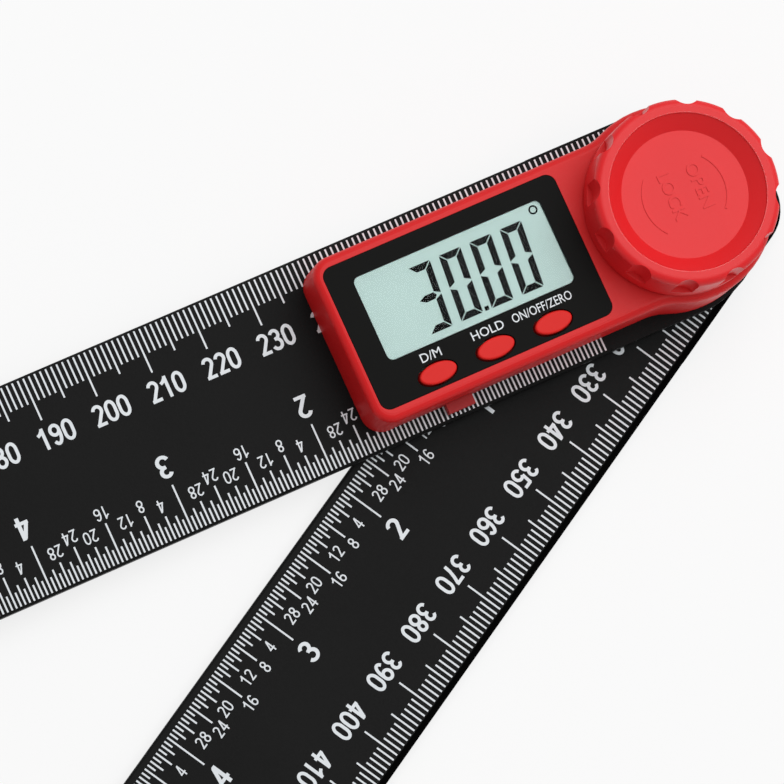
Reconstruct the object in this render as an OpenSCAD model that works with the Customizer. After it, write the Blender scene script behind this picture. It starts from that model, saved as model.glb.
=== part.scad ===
// Digital angle gauge: two flat ruler blades on one pivot, a display housing on the
// upper blade and a lock knob above the pivot. Millimetres, +Z up, pivot on the Z axis.

/* [Blades] */
// Length of each blade from the pivot to its tip
blade_l = 300; // [200:1:400]
// Width of both blades
blade_w = 35; // [33:0.5:40]
// Thickness of each blade
blade_t = 3; // [2.5:0.1:4]
// Corner radius at a blade's tip
tip_r = 1.5; // [0.5:0.1:4]
// Corner radius at the pivot end of the lower blade
heel_r = 8; // [4:0.5:14]
// Bevel along the long edges of a blade
edge_bevel = 0.4; // [0.2:0.1:0.8]
// Angle between the blades at rest
opening_angle = 30; // [0:1:180]

/* [Housing] */
// Pivot to the far end of the display housing
housing_l = 61.3; // [60:0.1:70]
// Width of the display housing
housing_w = 29.5; // [29:0.25:33]
// Height of the housing above the blade
housing_h = 11; // [10.6:0.1:14]
// Side wall of the housing
housing_wall = 1.6; // [1.2:0.1:1.8]
// Top wall of the housing
housing_top = 2.2; // [1.8:0.1:2.6]
// Corner radius of the housing, seen from above
corner_r = 3.5; // [2.5:0.1:4.5]
// Rounding of the housing's upper edge
edge_r = 1.4; // [0.6:0.1:1.5]
// Radius of the housing's round end about the pivot
end_r = 16.8; // [16:0.1:18]
// Radius of the hollow necks that lead into the round end
neck_r = 10; // [8:1:60]

/* [Face] */
// Length of the face panel
panel_l = 42.7; // [42:0.1:44]
// Thickness of the face panel and depth of its recess
panel_t = 0.8; // [0.5:0.1:1.0]
// Corner radius of the face panel
panel_r = 1.8; // [0.8:0.1:2.4]
// Housing rim left of the panel
rim_left = 1.5; // [1.3:0.1:2]
// Housing rim on the outer side of the panel
rim_outer = 1.8; // [1.4:0.1:2.4]
// Housing rim on the button side of the panel
rim_inner = 2.1; // [1.8:0.1:2.6]
// Length of the display opening
window_l = 34.4; // [32:0.1:35]
// Width of the display opening
window_w = 15.1; // [14:0.1:15.6]
// Corner radius of the display opening
window_r = 1.2; // [0.4:0.1:2]
// Panel edge to the display opening, on the left
window_left = 4.4; // [3.6:0.1:5]
// Panel edge to the display opening, on the outer side
window_outer = 3.2; // [2.8:0.1:3.6]

/* [Buttons] */
// Length of a button's oval
button_l = 6.6; // [6:0.1:7.2]
// Width of a button's oval
button_w = 3.4; // [3:0.1:3.6]
// Distance between neighbouring buttons
button_pitch = 10.6; // [9.6:0.1:11]
// Panel edge to the first button's centre
button_left = 11.0; // [9:0.1:12]
// Panel edge to the buttons' centre line, on the inner side
button_inner = 2.5; // [2.4:0.1:2.8]
// Height of a button above the panel
button_proud = 0.7; // [0.6:0.1:1]
// Travel of a button
button_travel = 0.5; // [0.3:0.05:0.5]

/* [Knob] */
// Diameter of the lock knob
knob_d = 31.4; // [30:0.1:33]
// Height of the lock knob
knob_h = 9.4; // [9:0.1:12]
// Rounding of the knob's outer rim
knob_rim_r = 1.4; // [0.8:0.1:2]
// Diameter of the knob's recess at its mouth
recess_d = 26.4; // [25:0.1:27.4]
// Diameter of the knob's recess at its floor
recess_floor_d = 21.4; // [20:0.1:24]
// Depth of the knob's recess
recess_depth = 2.5; // [1.5:0.1:5]
// Number of finger notches around the knob
notch_count = 12; // [8:1:16]
// Radius of a finger notch
notch_r = 2.4; // [1.8:0.1:3]
// Depth of a finger notch
notch_depth = 1; // [0.5:0.1:1.2]
// Height of the plain collar below the notches
notch_collar = 3; // [2:0.1:4]
// Turn of the first notch from the housing's long axis
notch_turn = 5.5; // [0:0.5:30]

/* [Pivot] */
// Diameter of the pivot shank
shank_d = 8; // [7:0.1:9]
// Diameter of the threaded end under the knob
thread_d = 6; // [5:0.1:6.5]
// Width across the flats of the pivot's head
head_af = 14; // [13:0.1:16]
// Thickness of the pivot's head
head_t = 1.6; // [1.2:0.1:1.8]
// Diameter of the encoder rotor
rotor_d = 23.2; // [20:0.1:24.4]
// Diameter of the friction washer between the blades
washer_d = 24; // [18:0.5:30]
// Thickness of the friction washer, which sets the gap between the blades
washer_t = 0.4; // [0.3:0.1:0.8]

/* [Battery] */
// Diameter of the coin cell
cell_d = 20; // [19.5:0.1:20.4]
// Thickness of the coin cell
cell_t = 3.2; // [2.5:0.1:3.2]
// Housing end to the centre of the battery tray
tray_from_end = 16; // [15.8:0.1:18]
// Side wall of the battery tray
tray_wall = 1.2; // [0.8:0.1:1.2]
// Floor of the battery tray
tray_floor = 0.6; // [0.5:0.1:0.7]
// Width of the tray's pull tab
tab_w = 4.8; // [3:0.1:8]
// Reach of the pull tab beyond the housing
tab_reach = 1.7; // [1:0.1:2.2]

/* [Hidden] */

$fn = 64;
eps = 0.01;
// Depth by which a boss or a post roots in its wall
root = 0.4;
// Clearance of parts that slide or turn past each other
gap = 0.3;
// Clearance of parts that are pushed together and stay there
seat = 0.1;
// Radial clearance of the pivot in its bush and of the thread in its insert
running = 0.05;

black = "#212121";
red = "#e03832";
steel = "#b9bcc0";
gold = "#c9a24a";
board_green = "#2c6b45";

// Heights above the table
low_top = blade_t;
up_bottom = low_top + washer_t;
deck = up_bottom + blade_t;
crown = deck + housing_h;
ceiling = crown - housing_top;

// Plan of the housing: the arcs of its outline meet on tangents
half_w = housing_w / 2;
neck_x = -sqrt(pow(end_r + neck_r, 2) - pow(half_w + neck_r, 2));
neck_angle = atan2(half_w + neck_r, neck_x);
corner_x = -housing_l + corner_r;
corner_y = half_w - corner_r;

// Points on an arc, each with the outward direction of the wall; side is -1 on a hollow arc
function arc(centre, r, a0, a1, n, side = 1, skip_first = 0, skip_last = 0) =
    [for (i = [skip_first : n - skip_last])
        let (a = a0 + (a1 - a0) * i / n, d = [cos(a), sin(a)]) [centre + r * d, side * d]];

housing_outline = concat(
    arc([0, 0], end_r, 0, neck_angle, 20),
    arc([neck_x, half_w + neck_r], neck_r, neck_angle - 180, -90, 8, -1, 1),
    arc([corner_x, corner_y], corner_r, 90, 180, 8),
    arc([corner_x, -corner_y], corner_r, 180, 270, 8),
    arc([neck_x, -half_w - neck_r], neck_r, 90, 180 - neck_angle, 8, -1),
    arc([0, 0], end_r, -neck_angle, 0, 20, 1, 1, 1));

function inset(outline, d) = [for (p = outline) p[0] - d * p[1]];

// Face panel, display opening and buttons
panel_x0 = -housing_l + rim_left;
panel_y0 = -half_w + rim_inner;
panel_w = housing_w - rim_inner - rim_outer;
window_x0 = panel_x0 + window_left;
window_y0 = panel_y0 + panel_w - window_outer - window_w;
button_x0 = panel_x0 + button_left;
button_y = panel_y0 + button_inner;
flange_rim = 0.7;
flange_t = 0.9;
flange_top = ceiling - gap;

// Display glass behind the opening, held by a frame that stands on the circuit board
glass_lap = 0.4;
glass_t = 1.6;
glass_top = ceiling - seat;
frame_wall = 0.5;
zebra_h = 1.3;
zebra_w = 1.6;
board_t = 1.0;
board_top = glass_top - glass_t - zebra_h;
board_bottom = board_top - board_t;
board_edge = 0.4;
board_x0 = -housing_l + housing_wall + board_edge;
board_half = half_w - housing_wall - board_edge;
dome_h = flange_top - flange_t - button_travel - gap - board_top;

// Fixings: screws into bosses that hang from the ceiling or stand inside the side walls
screw_d = 1.4;
screw_head_d = 2.2;
screw_head_t = 0.7;
boss_d = 3.2;
boss_in = boss_d / 2 - root / 2;
board_x1 = window_x0 + window_l + glass_lap + seat + frame_wall + gap + boss_d;
board_posts = [
    for (x = [-housing_l + housing_wall + boss_in, board_x1 - boss_d / 2], s = [-1, 1])
        [x, s * (half_w - housing_wall - boss_in)]];
blade_screw_d = 2;
blade_screw_head_d = 3.8;
blade_boss_d = 4.4;
blade_boss_h = board_bottom - gap - deck;
blade_boss_y = half_w - housing_wall - blade_boss_d / 2 + root;
tray_x = -housing_l + tray_from_end;

// Battery tray: a drawer that slides out of the button side of the housing
pocket_d = cell_d + 4 * seat;
tray_w = pocket_d + 2 * tray_wall;
tray_bottom = deck + gap;
tray_h = tray_floor + cell_t + seat;
tray_top = tray_bottom + tray_h;
tray_front = -half_w;
tray_back = tray_front + housing_wall + gap + pocket_d + tray_wall;
cell_y = tray_back - tray_wall - pocket_d / 2;
tab_t = 1.6;
contact_t = 0.2;
beside_tray = tray_x + tray_w / 2 + gap + blade_boss_d / 2;
boss_near = 2;
boss_far = 8;
blade_bosses = [
    [tray_x - boss_far, blade_boss_y],
    [beside_tray + boss_far, blade_boss_y],
    [beside_tray + boss_near, -blade_boss_y]];
blade_screw_end = 2;

// Pivot stack: bush on the deck, rotor on the shank, stator under the ceiling
bush_wall = 1.5;
bush_flange = 1.5;
bush_flange_t = 0.8;
bush_d = shank_d + 2 * running + 2 * bush_wall;
rotor_bottom = deck + bush_flange_t + gap;
rotor_t = 1;
rotor_hub_wall = 2;
rotor_hub_d = shank_d + 2 * rotor_hub_wall;
rotor_hub_h = 2.2;
stator_gap = 0.4;
stator_bottom = rotor_bottom + rotor_t + stator_gap;
stator_t = 1;
stator_edge = 0.6;
stator_d = 2 * (end_r - housing_wall - stator_edge);
stator_clear = 1;
stator_hole_d = rotor_hub_d + 2 * stator_clear;
stator_post_r = stator_d / 2 - boss_d / 2;
stator_posts = [for (a = [0, 120, 240]) stator_post_r * [cos(a), sin(a)]];
shank_top = ceiling;

// Knob: cup-shaped top, hollow underside, boss with a brass thread insert
knob_bottom = crown + gap;
knob_top = knob_bottom + knob_h;
knob_floor_top = knob_top - recess_depth;
knob_floor_t = 1.4;
knob_skirt = 2.8;
knob_boss_d = 13;
knob_washer_t = 0.6;
knob_washer_d = 18;
knob_boss_bottom = crown + knob_washer_t + gap;
insert_d = 9.4;
insert_top = knob_floor_top - knob_floor_t + root;
thread_top = insert_top - gap;

// Rectangle with round corners, from its low corner
module round_rect(x0, y0, l, w, r) {
    translate([x0, y0]) {
        translate([r, 0]) square([l - 2 * r, w]);
        translate([0, r]) square([l, w - 2 * r]);
        for (x = [r, l - r], y = [r, w - r]) translate([x, y]) circle(r);
    }
}

// Oval with its long axis along X
module oval(l, w) {
    polygon([for (i = [0 : 47]) [l / 2 * cos(i * 7.5), w / 2 * sin(i * 7.5)]]);
}

// Plan of a blade along -X: square tip, round pivot end, and a heel corner on its -Y side
module blade_plan(corner) {
    half = blade_w / 2;
    heel = half - corner;
    translate([-blade_l + tip_r, -half]) square([blade_l - tip_r, blade_w]);
    translate([-blade_l, -half + tip_r]) square([2 * tip_r, blade_w - 2 * tip_r]);
    for (side = [-1, 1]) translate([-blade_l + tip_r, side * (half - tip_r)]) circle(tip_r);
    circle(half);
    if (heel > 0) {
        translate([heel, -heel]) circle(corner);
        translate([-eps, -half]) square([heel + eps, half]);
        translate([-eps, -heel]) square([half + eps, heel]);
    }
}

// Blade with a bevel along its long edges, from z = 0
module blade(corner) {
    bevel_x0 = -blade_l + 2 * tip_r;
    bevel_l = blade_l - 2 * tip_r - blade_w / 2;
    reach = 4 * edge_bevel;
    difference() {
        linear_extrude(blade_t) blade_plan(corner);
        for (a = [45, 135, 225, 315])
            translate([bevel_x0, sign(cos(a)) * blade_w / 2, sin(a) > 0 ? blade_t : 0]) rotate([a, 0, 0])
                translate([0, -edge_bevel / sqrt(2), -reach / 2]) cube([bevel_l, reach, reach]);
    }
}

module lower_blade() {
    color(black) rotate([0, 0, opening_angle]) difference() {
        blade(heel_r);
        translate([0, 0, -1]) cylinder(d = shank_d + 2 * running, h = blade_t + 2);
        translate([0, 0, -1]) cylinder(d = (head_af + 2 * seat) / cos(30), h = head_t + 1, $fn = 6);
    }
}

// Hex-headed pivot: the head sits in the lower blade, the thread carries the knob
module pivot_bolt() {
    color(steel) rotate([0, 0, opening_angle]) {
        cylinder(d = head_af / cos(30), h = head_t, $fn = 6);
        cylinder(d = shank_d, h = shank_top);
        cylinder_between(thread_d, shank_top - eps, thread_top);
    }
}

module cylinder_between(d, z0, z1) {
    translate([0, 0, z0]) cylinder(d = d, h = z1 - z0);
}

module ring(d, hole, z, t) {
    translate([0, 0, z]) difference() {
        cylinder(d = d, h = t);
        translate([0, 0, -1]) cylinder(d = hole, h = t + 2);
    }
}

module friction_washer() {
    color("#e8e6dc") ring(washer_d, bush_d + 2 * gap, low_top, washer_t);
}

// Encoder rotor: a disc with a hub and radial windows, turning with the lower blade
module rotor_disc() {
    windows = 12;
    color(gold) difference() {
        union() {
            cylinder_between(rotor_d, rotor_bottom, rotor_bottom + rotor_t);
            cylinder_between(rotor_hub_d, rotor_bottom, rotor_bottom + rotor_hub_h);
        }
        cylinder_between(shank_d + 2 * running, rotor_bottom - 1, rotor_bottom + rotor_hub_h + 1);
        for (i = [0 : windows - 1]) rotate([0, 0, i * 360 / windows])
            translate([(rotor_d + rotor_hub_d) / 4, 0, rotor_bottom - 1])
                cylinder(d = (rotor_d - rotor_hub_d) / 8, h = rotor_t + 2);
    }
}

module upper_blade() {
    color(black) translate([0, 0, up_bottom]) difference() {
        blade(blade_w / 2);
        translate([0, 0, -1]) cylinder(d = bush_d + 2 * running, h = blade_t + 2);
        for (p = blade_bosses) translate([p[0], p[1], -eps]) {
            cylinder(d = blade_screw_d + 2 * seat, h = blade_t + 1);
            cylinder(d1 = blade_screw_head_d + 4 * seat, d2 = blade_screw_d + 4 * seat,
                h = (blade_screw_head_d - blade_screw_d) / 2);
        }
    }
}

// Flanged bearing bush in the upper blade
module pivot_bush() {
    color(gold) difference() {
        union() {
            cylinder_between(bush_d, up_bottom, deck + eps);
            cylinder_between(bush_d + 2 * bush_flange, deck, deck + bush_flange_t);
        }
        cylinder_between(shank_d + 2 * running, up_bottom - 1, deck + bush_flange_t + 1);
    }
}

// Solid of the housing's plan with a quarter-round upper edge, standing on the deck
module housing_form() {
    n = len(housing_outline);
    steps = 6;
    trim = 2;
    rings = concat([[0, -trim]], [for (j = [0 : steps])
        [edge_r * (1 - cos(90 * j / steps)), housing_h - edge_r + edge_r * sin(90 * j / steps)]]);
    points = [for (q = rings) each [for (p = inset(housing_outline, q[0])) [p[0], p[1], q[1]]]];
    last = (len(rings) - 1) * n;
    faces = concat(
        [[for (k = [0 : n - 1]) k]],
        [for (j = [0 : len(rings) - 2], k = [0 : n - 1])
            [j * n + k, (j + 1) * n + k, (j + 1) * n + (k + 1) % n, j * n + (k + 1) % n]],
        [[for (k = [n - 1 : -1 : 0]) last + k]]);
    translate([0, 0, deck]) difference() {
        polyhedron(points, faces, convexity = 4);
        translate([-2 * housing_l, -housing_w, -2 * trim]) cube([3 * housing_l, 2 * housing_w, 2 * trim]);
    }
}

// Moulded shell, open below: panel recess, display opening, button holes, tray slot and bosses
module housing_shell() {
    color(red) difference() {
        union() {
            difference() {
                housing_form();
                translate([0, 0, deck - 1]) linear_extrude(ceiling - deck + 1)
                    polygon(inset(housing_outline, housing_wall));
            }
            for (p = board_posts) translate([p[0], p[1], board_top])
                cylinder(d = boss_d, h = ceiling - board_top + root);
            for (p = stator_posts) translate([p[0], p[1], stator_bottom + stator_t])
                cylinder(d = boss_d, h = ceiling - stator_bottom - stator_t + root);
            for (p = blade_bosses) translate([p[0], p[1], deck])
                cylinder(d = blade_boss_d, h = blade_boss_h);
        }
        translate([0, 0, crown - panel_t])
            linear_extrude(panel_t + 1) round_rect(panel_x0, panel_y0, panel_l, panel_w, panel_r);
        translate([0, 0, ceiling - 1])
            linear_extrude(housing_top + 2) round_rect(window_x0, window_y0, window_l, window_w, window_r);
        for (i = [0 : 2]) translate([button_x0 + i * button_pitch, button_y, ceiling - 1])
            linear_extrude(housing_top + 2) oval(button_l + 2 * gap, button_w + 2 * gap);
        translate([tray_x - tray_w / 2 - gap, -half_w - 1, deck - 1])
            cube([tray_w + 2 * gap, housing_wall + 1 + root, tray_top + gap - deck + 1]);
        cylinder_between(shank_d + 2 * gap, ceiling - 1, crown + 1);
        for (p = concat(board_posts, stator_posts)) translate([p[0], p[1], stator_bottom])
            cylinder(d = screw_d + seat, h = ceiling - stator_bottom - root);
        for (p = blade_bosses) translate([p[0], p[1], deck - 1])
            cylinder(d = blade_screw_d + seat, h = blade_boss_h - root);
    }
}

// Countersunk screws from under the upper blade into the housing
module blade_screws() {
    head_h = (blade_screw_head_d - blade_screw_d) / 2;
    color(steel) for (p = blade_bosses) translate([p[0], p[1], up_bottom + seat]) {
        cylinder(d1 = blade_screw_head_d, d2 = blade_screw_d, h = head_h);
        cylinder(d = blade_screw_d, h = blade_t + blade_boss_h - blade_screw_end);
    }
}

module circuit_board() {
    color(board_green) difference() {
        translate([0, 0, board_bottom]) linear_extrude(board_t)
            round_rect(board_x0, -board_half, board_x1 - board_x0, 2 * board_half,
                corner_r - housing_wall - board_edge);
        for (p = board_posts) translate([p[0], p[1], board_bottom - 1])
            cylinder(d = screw_d + 2 * seat, h = board_t + 2);
    }
}

chip_size = 5;
chip_t = 0.9;
chip_off = 6;
chip_x = tray_x + tray_w / 2 + chip_off;

module processor_chip() {
    color("#2a2a2a") translate([chip_x - chip_size / 2, -chip_size / 2, board_bottom - chip_t])
        cube([chip_size, chip_size, chip_t]);
}

// Crystal and capacitors beside the processor
module board_components() {
    size = [2, 1.2, 0.8];
    pitch = 2.6;
    beside_chip = chip_size / 2 + 0.8;
    color(steel) for (i = [-1, 0, 1])
        translate([chip_x - size[0] / 2 + pitch * i, beside_chip, board_bottom - size[2]]) cube(size);
}

// Snap domes on the board, one under each button
module dome_switches() {
    color(steel) for (i = [0 : 2]) translate([button_x0 + i * button_pitch, button_y, board_top])
        cylinder(d1 = button_w, d2 = button_w - 1, h = dome_h);
}

// Screws from below into the hanging posts of the board and of the stator
module board_screws() {
    color(steel) {
        for (p = board_posts) post_screw(p, board_bottom, board_t);
        for (p = stator_posts) post_screw(p, stator_bottom, stator_t);
    }
}

module post_screw(p, z, grip) {
    thread = 2;
    translate([p[0], p[1], z - screw_head_t * 0.5]) {
        cylinder(d = screw_head_d, h = screw_head_t * 0.5);
        cylinder(d = screw_d, h = screw_head_t * 0.5 + grip + thread);
    }
}

module stator_disc() {
    color(board_green) difference() {
        ring(stator_d, stator_hole_d, stator_bottom, stator_t);
        for (p = stator_posts) translate([p[0], p[1], stator_bottom - 1])
            cylinder(d = screw_d + 2 * seat, h = stator_t + 2);
    }
}

// Flat flexible strip from the circuit board down to the stator and on to its hole
module encoder_flex() {
    strip_w = 8;
    strip_t = 0.2;
    land = 1.6;
    x0 = board_x1;
    x1 = -stator_hole_d / 2;
    y0 = 2;
    stator_top = stator_bottom + stator_t;
    color("#b5722c") {
        translate([x0 - land, y0, board_bottom - strip_t]) cube([land + strip_t, strip_w, strip_t]);
        translate([x0, y0, stator_top]) cube([strip_t, strip_w, board_bottom - stator_top]);
        translate([x0, y0, stator_top]) cube([x1 - x0, strip_w, strip_t]);
    }
}

// Holder round the display glass
module lcd_frame() {
    lap = glass_lap + seat;
    color("#303030") translate([0, 0, board_top]) difference() {
        linear_extrude(glass_top - board_top) round_rect(window_x0 - lap - frame_wall,
            window_y0 - lap - frame_wall, window_l + 2 * (lap + frame_wall),
            window_w + 2 * (lap + frame_wall), window_r);
        translate([window_x0 - lap, window_y0 - lap, -1])
            cube([window_l + 2 * lap, window_w + 2 * lap, glass_top - board_top + 2]);
    }
}

// Conductive rubber strips between the board and the display glass
module zebra_strips() {
    color("#d8a0a0") for (y = [window_y0, window_y0 + window_w - zebra_w])
        translate([window_x0, y, board_top]) cube([window_l, zebra_w, zebra_h]);
}

module lcd_panel() {
    color("#bbd5d0") translate([window_x0 - glass_lap, window_y0 - glass_lap, glass_top - glass_t])
        cube([window_l + 2 * glass_lap, window_w + 2 * glass_lap, glass_t]);
}

// Black panel in the housing's recess, open over the display and the buttons
module face_panel() {
    color("#1a1a18") translate([0, 0, crown - panel_t]) difference() {
        linear_extrude(panel_t) round_rect(panel_x0 + seat, panel_y0 + seat, panel_l - 2 * seat,
            panel_w - 2 * seat, panel_r - seat);
        translate([0, 0, -1]) linear_extrude(panel_t + 2)
            round_rect(window_x0, window_y0, window_l, window_w, window_r);
        for (i = [0 : 2]) translate([button_x0 + i * button_pitch, button_y, -1])
            linear_extrude(panel_t + 2) oval(button_l + 2 * gap, button_w + 2 * gap);
    }
}

// Clear window over the display glass, a little below the face
module display_window() {
    sunk = 0.15;
    color("#dfeeec", 0.4) translate([0, 0, ceiling])
        linear_extrude(housing_top - sunk) round_rect(window_x0 + seat, window_y0 + seat,
            window_l - 2 * seat, window_w - 2 * seat, window_r - seat);
}

// Oval button with a crowned cap and a flange whose two ends keep it under the ceiling
module button(i) {
    cap_edge = crown + button_proud * 0.5;
    dome = button_proud * 0.5;
    color(red) translate([button_x0 + i * button_pitch, button_y, 0]) {
        translate([0, 0, flange_top - flange_t]) linear_extrude(flange_t)
            oval(button_l + 2 * gap + 2 * flange_rim, button_w);
        translate([0, 0, flange_top - eps]) linear_extrude(cap_edge - flange_top + eps)
            oval(button_l, button_w);
        translate([0, 0, cap_edge - eps]) button_crown(dome);
    }
}

// Crown of a button: ovals that draw in over a quarter round
module button_crown(h) {
    n = 48;
    steps = 4;
    points = [for (j = [0 : steps]) each [for (k = [0 : n - 1])
        [(button_l / 2 - h * (1 - cos(90 * j / steps))) * cos(k * 360 / n),
            (button_w / 2 - h * (1 - cos(90 * j / steps))) * sin(k * 360 / n),
            h * sin(90 * j / steps)]]];
    faces = concat(
        [[for (k = [0 : n - 1]) k]],
        [for (j = [0 : steps - 1], k = [0 : n - 1])
            [j * n + k, (j + 1) * n + k, (j + 1) * n + (k + 1) % n, j * n + (k + 1) % n]],
        [[for (k = [n - 1 : -1 : 0]) steps * n + k]]);
    polyhedron(points, faces, convexity = 2);
}

module mode_button() { button(0); }

module hold_button() { button(1); }

module zero_button() { button(2); }

// Drawer with a round pocket for the coin cell and a pull tab under the housing's edge
module battery_tray() {
    color("#b8261f") {
        difference() {
            translate([tray_x - tray_w / 2, tray_front, tray_bottom])
                cube([tray_w, tray_back - tray_front, tray_h]);
            translate([tray_x, cell_y, tray_bottom + tray_floor]) cylinder(d = pocket_d, h = tray_h);
        }
        translate([tray_x - tab_w / 2, tray_front - tab_reach, tray_bottom])
            cube([tab_w, tab_reach + eps, tab_t]);
    }
}

module coin_cell() {
    step = 0.4;
    color(steel) translate([tray_x, cell_y, tray_bottom + tray_floor]) {
        cylinder(d = cell_d - 2.6, h = step + eps);
        translate([0, 0, step]) cylinder(d = cell_d, h = cell_t - step);
    }
}

// Leaf under the board, above the middle of the cell
module negative_contact() {
    leaf = [12, 3, contact_t];
    color(gold) translate([tray_x - leaf[0] / 2, cell_y - leaf[1] / 2, board_bottom - contact_t]) cube(leaf);
}

// Angled clip under the board, behind the tray
module positive_contact() {
    clip_w = 8;
    foot = 2.5;
    drop = board_bottom - tray_bottom - 1;
    color(gold) translate([tray_x - clip_w / 2, tray_back + gap, board_bottom]) {
        translate([0, 0, -drop]) cube([clip_w, contact_t, drop]);
        translate([0, 0, -contact_t]) cube([clip_w, foot, contact_t]);
    }
}

module knob_washer() {
    color(steel) ring(knob_washer_d, thread_d + 2 * gap, crown, knob_washer_t);
}

// Half section of the knob, right of its axis
module knob_section() {
    r = knob_d / 2;
    floor_bottom = knob_floor_top - knob_floor_t;
    rim_in = recess_d / 2;
    mouth_w = 0.2;
    mouth_h = 0.3;
    difference() {
        union() {
            translate([0, floor_bottom]) square([r, knob_top - knob_rim_r - floor_bottom]);
            translate([r - knob_skirt, knob_bottom])
                square([knob_skirt, floor_bottom - knob_bottom + eps]);
            translate([0, knob_boss_bottom])
                square([knob_boss_d / 2, floor_bottom - knob_boss_bottom + eps]);
            translate([0, floor_bottom]) square([r - knob_rim_r, knob_top - floor_bottom]);
            translate([r - knob_rim_r, knob_top - knob_rim_r]) circle(knob_rim_r);
        }
        polygon([[-eps, knob_floor_top], [recess_floor_d / 2, knob_floor_top],
            [rim_in, knob_top - mouth_h], [rim_in + mouth_w, knob_top + eps], [-eps, knob_top + eps]]);
        translate([-eps, knob_boss_bottom - 1])
            square([insert_d / 2 + running + eps, insert_top - knob_boss_bottom + 1]);
    }
}

// Cup-shaped lock knob with finger notches round its wall and ribs under its floor
module lock_knob() {
    ribs = 6;
    rib_t = 1.2;
    rib_lift = 1;
    rib_in = knob_boss_d / 2 - root;
    rib_out = knob_d / 2 - knob_skirt + root;
    rib_bottom = knob_boss_bottom + rib_lift;
    floor_bottom = knob_floor_top - knob_floor_t;
    color(red) difference() {
        union() {
            rotate_extrude($fn = 96) knob_section();
            for (i = [0 : ribs - 1]) rotate([0, 0, i * 360 / ribs])
                translate([rib_in, -rib_t / 2, rib_bottom])
                    cube([rib_out - rib_in, rib_t, floor_bottom - rib_bottom + eps]);
        }
        for (i = [0 : notch_count - 1]) rotate([0, 0, notch_turn + i * 360 / notch_count])
            translate([knob_d / 2 + notch_r - notch_depth, 0, knob_bottom + notch_collar])
                cylinder(r = notch_r, h = knob_h);
    }
}

// Brass insert with the knob's thread
module knob_insert() {
    color(gold) ring(insert_d, thread_d + 2 * running, knob_boss_bottom, insert_top - knob_boss_bottom);
}

lower_blade();
pivot_bolt();
friction_washer();
rotor_disc();
upper_blade();
pivot_bush();
housing_shell();
blade_screws();
circuit_board();
processor_chip();
board_components();
dome_switches();
board_screws();
stator_disc();
encoder_flex();
lcd_frame();
zebra_strips();
lcd_panel();
face_panel();
display_window();
mode_button();
hold_button();
zero_button();
battery_tray();
coin_cell();
negative_contact();
positive_contact();
knob_washer();
lock_knob();
knob_insert();
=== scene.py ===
import math

import bpy
import numpy as np
from mathutils import Matrix, Vector


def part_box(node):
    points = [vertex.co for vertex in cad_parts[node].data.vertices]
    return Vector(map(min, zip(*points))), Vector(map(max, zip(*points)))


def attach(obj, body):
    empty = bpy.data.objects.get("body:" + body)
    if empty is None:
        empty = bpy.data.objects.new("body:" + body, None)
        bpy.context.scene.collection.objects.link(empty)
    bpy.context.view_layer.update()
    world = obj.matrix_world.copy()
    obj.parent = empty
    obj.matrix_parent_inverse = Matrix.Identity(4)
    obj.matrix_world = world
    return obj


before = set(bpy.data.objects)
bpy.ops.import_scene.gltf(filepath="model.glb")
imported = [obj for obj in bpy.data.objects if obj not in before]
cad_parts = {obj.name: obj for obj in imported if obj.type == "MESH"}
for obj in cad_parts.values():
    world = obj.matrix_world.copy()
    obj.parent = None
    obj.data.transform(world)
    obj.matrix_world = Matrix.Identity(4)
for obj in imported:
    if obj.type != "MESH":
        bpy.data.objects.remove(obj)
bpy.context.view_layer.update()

# Lower blade: a flat ruler leg moulded in black ABS with a fine spark-eroded face.
# Its long edges are bevelled, and the pivot's hexagon head sits in its underside.
# A strip along its outer edge is painted shade: darker and duller than the rest.
MM = 0.001
REST_ANGLE = math.radians(30)
PLASTIC_IOR = 1.53
PIT_DEPTH = 0.3
# Painted shade on the lower blade's outer edge: its width, the width it sets in over, its darkness.
PAINTED_SHADE_WIDTH, EDGE_BLEND, EDGE_SHADE = 1.2, 0.15, 0.12


def corners_of(node):
    """Lowest and highest corner of a CAD node at rest, in millimetres."""
    low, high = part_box(node)
    return np.array(low) / MM, np.array(high) / MM


def linear(code):
    """Linear RGBA of an sRGB hex colour: each channel through the sRGB transfer curve."""
    srgb = np.array([int(code[i:i + 2], 16) for i in (1, 3, 5)]) / 255
    low, high = srgb / 12.92, ((srgb + 0.055) / 1.055) ** 2.4
    return (*np.where(srgb <= 0.04045, low, high).tolist(), 1.0)


def add(tree, kind, settings, *links):
    """Adds a node: settings go to its sockets or properties, links are (node, output, socket)."""
    made = tree.nodes.new(kind)
    for key, value in settings.items():
        if isinstance(key, int) or key in made.inputs:
            made.inputs[key].default_value = value
        else:
            setattr(made, key, value)
    for source, output, socket in links:
        tree.links.new(source.outputs[output], made.inputs[socket])
    return made


def start(name):
    """A new material, its tree, its surface shader and its Object coordinates, in metres."""
    material = bpy.data.materials.new(name)
    material.use_nodes = True
    tree = material.node_tree
    place = add(tree, "ShaderNodeTexCoord", {})
    return material, tree, tree.nodes["Principled BSDF"], place


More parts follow.
